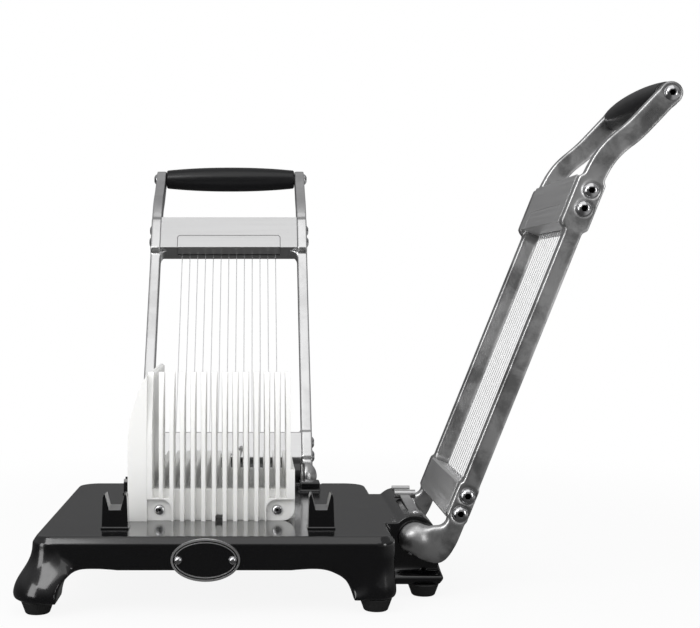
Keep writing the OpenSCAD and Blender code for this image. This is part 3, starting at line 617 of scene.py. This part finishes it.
def facing(direction):
    """A turn that takes +Z to direction."""
    return Vector((0, 0, 1)).rotation_difference(Vector(direction)).to_matrix().to_4x4()


def solids_of(node, turn):
    """The corners of each separate solid in a node, once turned back by turn."""
    bm = own_copy(node)
    bm.transform(turn.inverted())
    found = []
    left = set(bm.verts)
    while left:
        edge_of = [left.pop()]
        solid = []
        while edge_of:
            vert = edge_of.pop()
            solid.append(vert.co.copy())
            for edge in vert.link_edges:
                other = edge.other_vert(vert)
                if other in left:
                    left.discard(other)
                    edge_of.append(other)
        found.append((Vector([min(c[i] for c in solid) for i in range(3)]),
                      Vector([max(c[i] for c in solid) for i in range(3)])))
    bm.free()
    return found


def set_fasteners(node, body, slot_name, t, directions, below_top, **sizes):
    """Sets a tree's solids where a node has its own, each facing outwards in one of directions."""
    whole = bmesh.new()
    middle = sum((Vector(c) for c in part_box(node)), Vector()) / 2
    for direction in directions:
        turn = facing(direction)
        centre = turn.inverted() @ middle
        places = [Vector(((low.x + high.x) / 2, (low.y + high.y) / 2, high.z - below_top))
                  for low, high in solids_of(node, turn)
                  if len(directions) == 1 or (low.z + high.z) / 2 > centre.z]
        piece = points_object(node + "_places", places)
        grow(piece, t, **sizes)
        piece.data.transform(turn)
        whole.from_mesh(piece.data)
        finish = next(m for m in piece.data.materials if m)
        old = piece.data
        bpy.data.objects.remove(piece)
        bpy.data.meshes.remove(old)
    bmesh.ops.remove_doubles(whole, verts=whole.verts, dist=1e-6)
    bmesh.ops.recalc_face_normals(whole, faces=whole.faces)
    for face in whole.faces:
        face.material_index = 0
    piece = piece_from(whole, node + "_finished", finish)
    shade_by_angle(piece, 30)
    fit(piece, body, slot_name, node)
    return piece


def shade_by_angle(piece, degrees):
    """Smooth shading that stays sharp at edges over that angle."""
    piece.data.shade_smooth()
    piece.data.set_sharp_from_angle(angle=math.radians(degrees))


steel = steel_material("stainless", (0.66, 0.66, 0.67), 0.10, 0.20)
spring_steel = steel_material("spring_steel", (0.66, 0.66, 0.66), 0.25, 0.4)
button = screw_tree(steel)
cap = cap_tree(steel)
rivet = rivet_tree(steel)

# The way that a harp's own out and up directions point at rest, and the direction along its hinge.
harps = {"rear": {"lean": math.radians(33), "turn": 0.0}, "side": {"lean": math.radians(22), "turn": -90.0}}
for name, harp in harps.items():
    joint = next(j for j in frame["record"]["behaviour"]["joints"] if j["name"] == name + "_hinge")
    harp["hinge"] = Vector(joint["pos_m"])
    harp["rest"] = Matrix.Translation(harp["hinge"]) @ Matrix.Rotation(math.radians(harp["turn"]), 4, "Z") \
        @ Matrix.Rotation(-harp["lean"], 4, "X")
    turn = harp["rest"].to_3x3()
    harp["along"], harp["out"], harp["up"] = (turn @ Vector(axis) for axis in
                                              ((1, 0, 0), (0, 1, 0), (0, 0, 1)))

m5 = {"Head": 0.0096, "Height": 0.0028, "Shank": 0.0049, "Socket": 0.003}
set_fasteners("front_fence_screws", "base", "stainless", button, [(0, -1, 0)], 0.0028, **m5, Length=0.026)
set_fasteners("side_fence_screws", "base", "stainless", button, [(-1, 0, 0)], 0.0028, **m5, Length=0.030)
set_fasteners("block_screws", "base", "stainless", button, [(0, 0, -1)], 0.0028, **m5, Length=0.028)
set_fasteners("foot_screws", "base", "stainless", button, [(0, 0, -1)], 0.0026,
              Head=0.009, Height=0.0026, Shank=0.0049, Socket=0.003, Length=0.016)
softened("rest_screws", "base", "stainless", steel, 0.15 * MM)
set_fasteners("badge_rivets", "base", "badge_metal", rivet, [(0, -1, 0)], 0.0037)
m8 = {"Head": 0.014, "Height": 0.0044, "Shank": 0.0078, "Socket": 0.006, "Length": 0.028}
for name, harp in harps.items():
    body = name + "_harp"
    ends = [harp["along"], -harp["along"]]
    set_fasteners(name + "_crossbar_screws", body, "stainless", button, ends, 0.0044, **m8)
    set_fasteners(name + "_grip_screws", body, "stainless", button, ends, 0.0044, **m8)
    set_fasteners(name + "_tension_screws", body, "stainless", cap, [harp["up"]], 0.0)
    set_fasteners(name + "_cover_screws", body, "stainless", button, [harp["out"]], 0.0018,
                  Head=0.006, Height=0.0018, Shank=0.0031, Socket=0.002, Length=0.018)
    set_fasteners(name + "_catch_screw", "base", "stainless", button, [(0, 0, 1)], 0.002,
                  Head=0.007, Height=0.002, Shank=0.0031, Socket=0.002, Length=0.008)
    for node in ("wire_anchors", "grip_rod", "hinge_shaft", "hub_screws"):
        softened(f"{name}_{node}", body, "stainless", steel, 0.15 * MM)
    softened(name + "_catch_spring", "base", "spring_steel", spring_steel, 0.4 * MM)


# ---- Badge ----
# A die-cast oval plate with two bright rims round a black field. The field is left plain.
def badge_material():
    made, tree, shader = new_material("badge_nickel")
    shader.inputs["Base Color"].default_value = (0.88, 0.88, 0.88, 1)
    shader.inputs["Metallic"].default_value = 1
    marks = use_group(tree, grain)
    spread_value(tree, marks.outputs["Wiped"], 0.32, 0.46, shader.inputs["Roughness"])
    return made


badge = softened("badge_plate", "base", "badge_metal", badge_material(), 0.3 * MM)
badge.data.materials.append(paint)
badge_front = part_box("badge_plate")[0].y
for face in badge.data.polygons:
    if face.normal.y < -0.7 and face.center.y > badge_front + 0.6 * MM:
        face.material_index = 1


# ---- Cutting block ----
# White polyethylene, machined: a grid of posts, and two combs with wedge-shaped fins.
def polyethylene():
    made, tree, shader = new_material("white_polyethylene")
    shader.inputs["Base Color"].default_value = (0.90, 0.90, 0.885, 1)
    shader.inputs["Subsurface Weight"].default_value = 0.15
    shader.inputs["Subsurface Scale"].default_value = 0.004
    shader.inputs["Subsurface Radius"].default_value = (1, 1, 0.9)
    marks = use_group(tree, grain)
    spread_value(tree, marks.outputs["Wiped"], 0.32, 0.48, shader.inputs["Roughness"])
    raise_bump(tree, shader, marks.outputs["Peel Height"], 0.08, 0.0002)
    return made


white = polyethylene()
softened("grid_block", "base", "white_plastic", white, 0.4 * MM)
softened("front_fence", "base", "white_plastic", white, 0.5 * MM)
softened("side_fence", "base", "white_plastic", white, 0.5 * MM)


# ---- Harps ----
# Two arms, cast and polished until their edges are soft and bright, hold two brushed bars between
# them. Each hub is half a ball that runs into its arm's hook.
def polished_alloy(name, clean, dull, patch):
    made, tree, shader = new_material(name)
    shader.inputs["Metallic"].default_value = 1
    marks = use_group(tree, grain)
    spread_value(tree, marks.outputs["Wiped"], 0.26, 0.40, shader.inputs["Roughness"])
    patches = use_group(tree, tarnish)
    patches.inputs["Size"].default_value = patch
    tone = tree.nodes.new("ShaderNodeMix")
    tone.data_type = "RGBA"
    tone.inputs["A"].default_value = (clean, clean, clean, 1)
    tone.inputs["B"].default_value = (dull, dull, dull, 1)
    tree.links.new(patches.outputs["Patch"], tone.inputs["Factor"])
    tree.links.new(tone.outputs["Result"], shader.inputs["Base Color"])
    return made


def tarnish_group():
    """Shader group: soft uneven patches, as polished aluminium gets from hands and washing."""
    group = bpy.data.node_groups.new("tarnish", "ShaderNodeTree")
    group.interface.new_socket("Coords", in_out="INPUT", socket_type="NodeSocketVector")
    patch = group.interface.new_socket("Size", in_out="INPUT", socket_type="NodeSocketFloat")
    patch.default_value = 17
    group.interface.new_socket("Patch", in_out="OUTPUT", socket_type="NodeSocketFloat")
    enter = group.nodes.new("NodeGroupInput")
    leave = group.nodes.new("NodeGroupOutput")
    cloud = add(group, "ShaderNodeTexNoise", Detail=6.0, Roughness=0.62, Distortion=0.3)
    group.links.new(enter.outputs["Size"], cloud.inputs["Scale"])
    cut = add(group, "ShaderNodeMapRange")
    cut.interpolation_type = "SMOOTHSTEP"
    cut.inputs["From Min"].default_value = 0.42
    cut.inputs["From Max"].default_value = 0.66
    group.links.new(enter.outputs["Coords"], cloud.inputs["Vector"])
    group.links.new(cloud.outputs["Fac"], cut.inputs["Value"])
    group.links.new(cut.outputs[0], leave.inputs["Patch"])
    return group


def brush_group():
    """Shader group: fine lines along a bar, from noise stretched along the hinge's direction."""
    group = bpy.data.node_groups.new("brushing", "ShaderNodeTree")
    group.interface.new_socket("Coords", in_out="INPUT", socket_type="NodeSocketVector")
    along = group.interface.new_socket("Stretch", in_out="INPUT", socket_type="NodeSocketVector")
    along.default_value = (1, 1, 1)
    group.interface.new_socket("Line", in_out="OUTPUT", socket_type="NodeSocketFloat")
    enter = group.nodes.new("NodeGroupInput")
    leave = group.nodes.new("NodeGroupOutput")
    scaled = group.nodes.new("ShaderNodeVectorMath")
    scaled.operation = "MULTIPLY"
    lines = add(group, "ShaderNodeTexNoise", Scale=1.0, Detail=4.0, Roughness=0.7)
    group.links.new(enter.outputs["Coords"], scaled.inputs[0])
    group.links.new(enter.outputs["Stretch"], scaled.inputs[1])
    group.links.new(scaled.outputs[0], lines.inputs["Vector"])
    group.links.new(lines.outputs["Fac"], leave.inputs["Line"])
    return group


def brushed_alloy(name, grey, stretch):
    made, tree, shader = new_material(name)
    shader.inputs["Base Color"].default_value = (grey, grey, grey, 1)
    shader.inputs["Metallic"].default_value = 1
    lines = use_group(tree, brushing)
    lines.inputs["Stretch"].default_value = stretch
    spread_value(tree, lines.outputs["Line"], 0.30, 0.46, shader.inputs["Roughness"])
    raise_bump(tree, shader, lines.outputs["Line"], 0.10, 0.0002)
    return made


def cast_arm(node, harp, body, alloy):
    """The arm's shape grown through a fine grid in its upright place, smoothed all over a little
    and at the hub until the ball runs into the hook, and then leant back to rest."""
    bm = own_copy(node)
    bm.transform(harp["rest"].inverted())
    piece = piece_from(bm, node + "_finished", alloy)
    grid = piece.modifiers.new("grid", "REMESH")
    grid.mode = "VOXEL"
    grid.voxel_size = 0.8 * MM
    soft = piece.modifiers.new("soft", "SMOOTH")
    soft.factor = 0.5
    soft.iterations = 24
    apply_modifiers(piece)
    hub = piece.vertex_groups.new(name="hub")
    inner = min(abs(v.co.x) for v in piece.data.vertices)
    for vert in piece.data.vertices:
        away = math.hypot(vert.co.y, vert.co.z)
        outer = (abs(vert.co.x) - inner) / (10 * MM)
        weight = max(0.0, min(1.0, (36 * MM - away) / (14 * MM))) * max(0.0, min(1.0, outer))
        if weight:
            hub.add([vert.index], weight, "REPLACE")
    blend = piece.modifiers.new("blend", "SMOOTH")
    blend.vertex_group = "hub"
    blend.factor = 0.5
    blend.iterations = 140
    fewer = piece.modifiers.new("fewer", "DECIMATE")
    fewer.ratio = 0.8
    apply_modifiers(piece)
    piece.vertex_groups.clear()
    piece.data.transform(harp["rest"])
    piece.data.shade_smooth()
    fit(piece, body, "polished_alloy", node)


def wire_tree(finish):
    """Straight wires of one length side by side, the middle one at the origin."""
    t = NodeTree("harp_wires", Count=13, Pitch=0.009525, Length=0.3, Diameter=0.0008, Finish=finish)
    gaps = t.maths("SUBTRACT", t.size("Count"), 1.0)
    first = t.maths("MULTIPLY", t.maths("MULTIPLY", gaps, t.size("Pitch")), -0.5)
    row = t.node("MeshLine", Count=t.size("Count"), Start_Location=t.xyz(first, 0.0, 0.0),
                 Offset=t.xyz(t.size("Pitch"), 0.0, 0.0))
    rod = t.node("MeshCylinder", Vertices=12, Radius=t.maths("DIVIDE", t.size("Diameter"), 2.0),
                 Depth=t.size("Length"))
    put = t.node("InstanceOnPoints", Points=row.outputs["Mesh"], Instance=rod.outputs["Mesh"])
    t.finish(t.node("RealizeInstances", Geometry=put.outputs[0]).outputs[0])
    return t


def string_harp(node, harp, body):
    """The thirteen wires, from their anchors to their tension screws."""
    solids = solids_of(node, harp["rest"])
    low = Vector([min(s[0][i] for s in solids) for i in range(3)])
    high = Vector([max(s[1][i] for s in solids) for i in range(3)])
    piece = points_object(node + "_finished", [(0, 0, 0)])
    thick = solids[0][1].x - solids[0][0].x
    grow(piece, wires, Count=len(solids), Pitch=(high.x - low.x - thick) / (len(solids) - 1),
         Length=high.z - low.z, Diameter=thick)
    piece.data.transform(harp["rest"] @ Matrix.Translation((low + high) / 2))
    shade_by_angle(piece, 40)
    fit(piece, body, "wire_steel", node)


tarnish = tarnish_group()
brushing = brush_group()
alloys = {"rear": polished_alloy("satin_alloy", 0.78, 0.66, 22),
          "side": polished_alloy("polished_alloy", 0.78, 0.36, 30)}
wires = wire_tree(steel_material("wire_steel", (0.93, 0.93, 0.94), 0.3, 0.42))
# Both pairs of bars are the same brushed alloy. The rear bars' base grey is set darker as painted shade,
# and the side bars' is set lighter as painted light, to stand in for how the light falls on each pair.
bars_lit_and_shaded = {"rear": brushed_alloy("brushed_rear_bars_painted_shade", 0.72, (6, 900, 900)),
        "side": brushed_alloy("brushed_side_bars_painted_light", 0.97, (900, 6, 900))}
for name, harp in harps.items():
    body = name + "_harp"
    for node in (f for f in frame["nodes"] if f.startswith(name + "_") and f.endswith("_arm")):
        cast_arm(node, harp, body, alloys[name])
    for node in ("upper_crossbar", "lower_crossbar", "wire_cover"):
        softened(f"{name}_{node}", body, "brushed_alloy", bars_lit_and_shaded[name], 0.6 * MM)
    string_harp(name + "_wires", harp, body)


# ---- Grips ----
# Moulded black plastic barrels with a satin skin.
def grip_plastic():
    made, tree, shader = new_material("grip_plastic")
    shader.inputs["Base Color"].default_value = (0.006, 0.006, 0.007, 1)
    marks = use_group(tree, grain)
    spread_value(tree, marks.outputs["Wiped"], 0.28, 0.38, shader.inputs["Roughness"])
    raise_bump(tree, shader, marks.outputs["Peel Height"], 0.1, 0.0002)
    return made


grip_black = grip_plastic()
for harp in ("rear", "side"):
    softened(harp + "_grip", harp + "_harp", "grip_black", grip_black, 1.0 * MM, 3)
    softened(harp + "_hinge_bushes", "base", "bush_plastic", white, 0.3 * MM)
